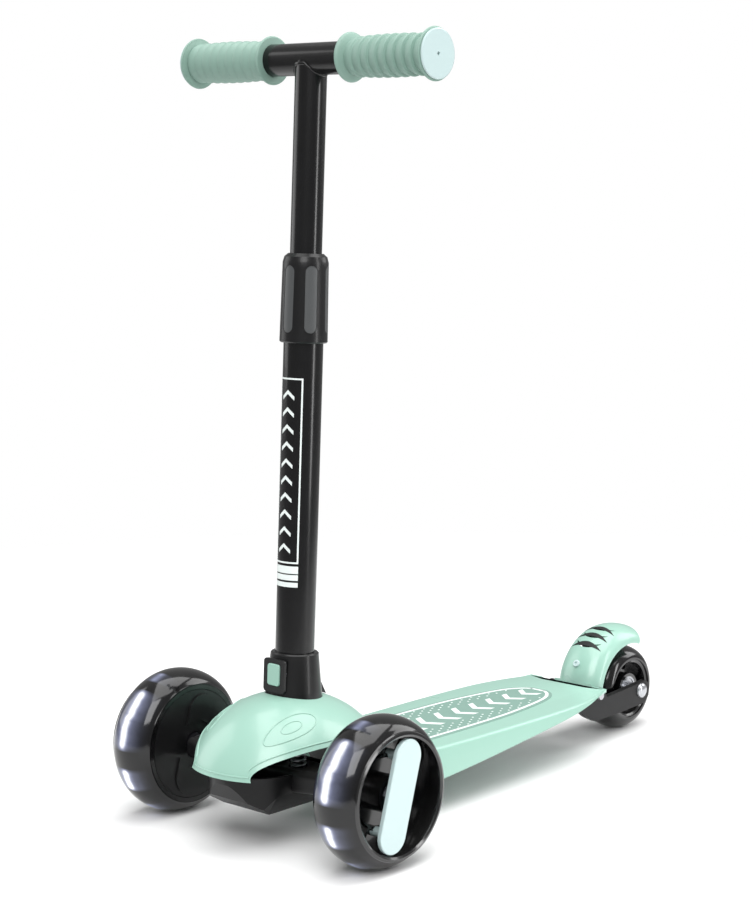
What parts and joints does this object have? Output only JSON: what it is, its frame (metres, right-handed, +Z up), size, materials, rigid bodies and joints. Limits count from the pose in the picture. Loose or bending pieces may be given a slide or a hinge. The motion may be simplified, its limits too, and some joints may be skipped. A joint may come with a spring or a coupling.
{
  "type": "kick scooter",
  "caption": "Three-wheeled lean-to-steer kick scooter for a small child, with a lift-out T-bar stem, twist-lock height adjustment and a foot brake over the rear wheel.",
  "frame": {"origin": "on the ground under the middle of the scooter's length and width", "axes": "+Z up, the scooter faces -Y, +X towards the rider's left"},
  "size_m": [0.276, 0.5719, 0.639],
  "materials": {
    "bearing_steel": "ground steel",
    "black_plastic": "satin moulded plastic",
    "black_tube": "satin powder coat",
    "black_tyre": "glossy smoky polyurethane",
    "bush_plastic": "natural acetal",
    "collar_grey": "soft satin inset",
    "grip_tape": "printed non-slip sheet",
    "hub_black": "satin moulded plastic",
    "hub_white": "smooth moulded bar",
    "light_parts": "lamps on a ring",
    "magnet_black": "magnet ring",
    "mint_grip": "soft ribbed rubber",
    "mint_shell": "smooth injection-moulded shell",
    "mint_trim": "smooth moulded trim",
    "pad_rubber": "brake rubber",
    "spring_steel": "drawn wire",
    "zinc_steel": "bright zinc plate"
  },
  "bodies": {
    "deck": {"deck": "mint_shell", "grip_pad": "grip_tape", "deck_spine": "black_plastic", "deck_screws": "zinc_steel", "rear_fork": "black_plastic", "rear_axle_bolt": "zinc_steel", "rear_axle_nut": "zinc_steel", "rear_spacers": "zinc_steel", "rear_bearing_spacer": "zinc_steel", "fender_pin": "zinc_steel", "fender_spring": "spring_steel", "bonnet": "mint_shell", "bonnet_screws": "zinc_steel", "front_base": "black_plastic", "stem_socket": "black_plastic", "button_surround": "black_plastic", "pivot_bolt": "zinc_steel", "pivot_nut": "zinc_steel", "pivot_washers": "bush_plastic", "lean_springs": "spring_steel", "button_springs": "spring_steel"},
    "front_truck": {"truck_beam": "black_plastic", "truck_bushes": "bush_plastic", "left_axle": "zinc_steel", "right_axle": "zinc_steel", "front_axle_nuts": "zinc_steel", "light_magnets": "magnet_black", "left_bearing_spacer": "zinc_steel", "right_bearing_spacer": "zinc_steel"},
    "rear_wheel": {"rear_tyre": "black_tyre", "rear_hub": "hub_black", "rear_wheel_bearings": "bearing_steel"},
    "fender": {"fender": "mint_trim", "brake_pad": "pad_rubber", "fender_screw": "hub_white"},
    "stem": {"lower_tube": "black_tube", "clamp_sleeve": "bush_plastic"},
    "twist_collar": {"twist_collar": "black_plastic", "collar_insets": "collar_grey"},
    "handlebar": {"upper_tube": "black_tube", "guide_bush": "bush_plastic", "crossbar": "black_tube", "bar_end_plugs": "black_plastic", "left_grip": "mint_grip", "right_grip": "mint_grip"},
    "button": {"release_button": "mint_trim"},
    "front_wheel_left": {"left_tyre": "black_tyre", "left_hub": "hub_black", "left_hub_bar": "hub_white", "left_hub_cover": "hub_black", "left_wheel_bearings": "bearing_steel", "left_wheel_lights": "light_parts"},
    "front_wheel_right": {"right_tyre": "black_tyre", "right_hub": "hub_black", "right_hub_bar": "hub_white", "right_hub_cover": "hub_black", "right_wheel_bearings": "bearing_steel", "right_wheel_lights": "light_parts"}
  },
  "joints": [
    {"name": "lean_steer", "type": "hinge", "parent": "deck", "child": "front_truck", "pos_m": [0, -0.2225, 0.06], "axis": [0, -0.5, 0.866], "range_deg": [-12, 12], "stiffness_Nm_per_rad": 60, "deforming": ["lean_springs"]},
    {"name": "left_wheel_spin", "type": "hinge", "parent": "front_truck", "child": "front_wheel_left", "pos_m": [0.114, -0.2225, 0.06], "axis": [1, 0, 0], "continuous": true},
    {"name": "right_wheel_spin", "type": "hinge", "parent": "front_truck", "child": "front_wheel_right", "pos_m": [-0.114, -0.2225, 0.06], "axis": [1, 0, 0], "continuous": true},
    {"name": "rear_wheel_spin", "type": "hinge", "parent": "deck", "child": "rear_wheel", "pos_m": [0, 0.2425, 0.04], "axis": [1, 0, 0], "continuous": true},
    {"name": "brake", "type": "hinge", "parent": "deck", "child": "fender", "pos_m": [0, 0.1765, 0.047], "axis": [-1, 0, 0], "range_deg": [0, 7.5], "stiffness_Nm_per_rad": 1, "springref_deg": -17.19, "deforming": ["fender_spring"]},
    {"name": "stem_lift", "type": "slide", "parent": "deck", "child": "stem", "axis": [0, 0.0471, 0.9989], "range_m": [0, 0.08]},
    {"name": "bar_height", "type": "slide", "parent": "stem", "child": "handlebar", "axis": [0, 0.0471, 0.9989], "range_m": [-0.12, 0.1]},
    {"name": "clamp_twist", "type": "hinge", "parent": "stem", "child": "twist_collar", "pos_m": [0, -0.18395, 0.43152], "axis": [0, 0.0471, 0.9989], "range_deg": [0, 60]},
    {"name": "button_press", "type": "slide", "parent": "deck", "child": "button", "axis": [0, 0.9989, -0.0471], "range_m": [0, 0.002], "stiffness_N_per_m": 800, "springref_m": -0.002, "deforming": ["button_springs"]}
  ]
}
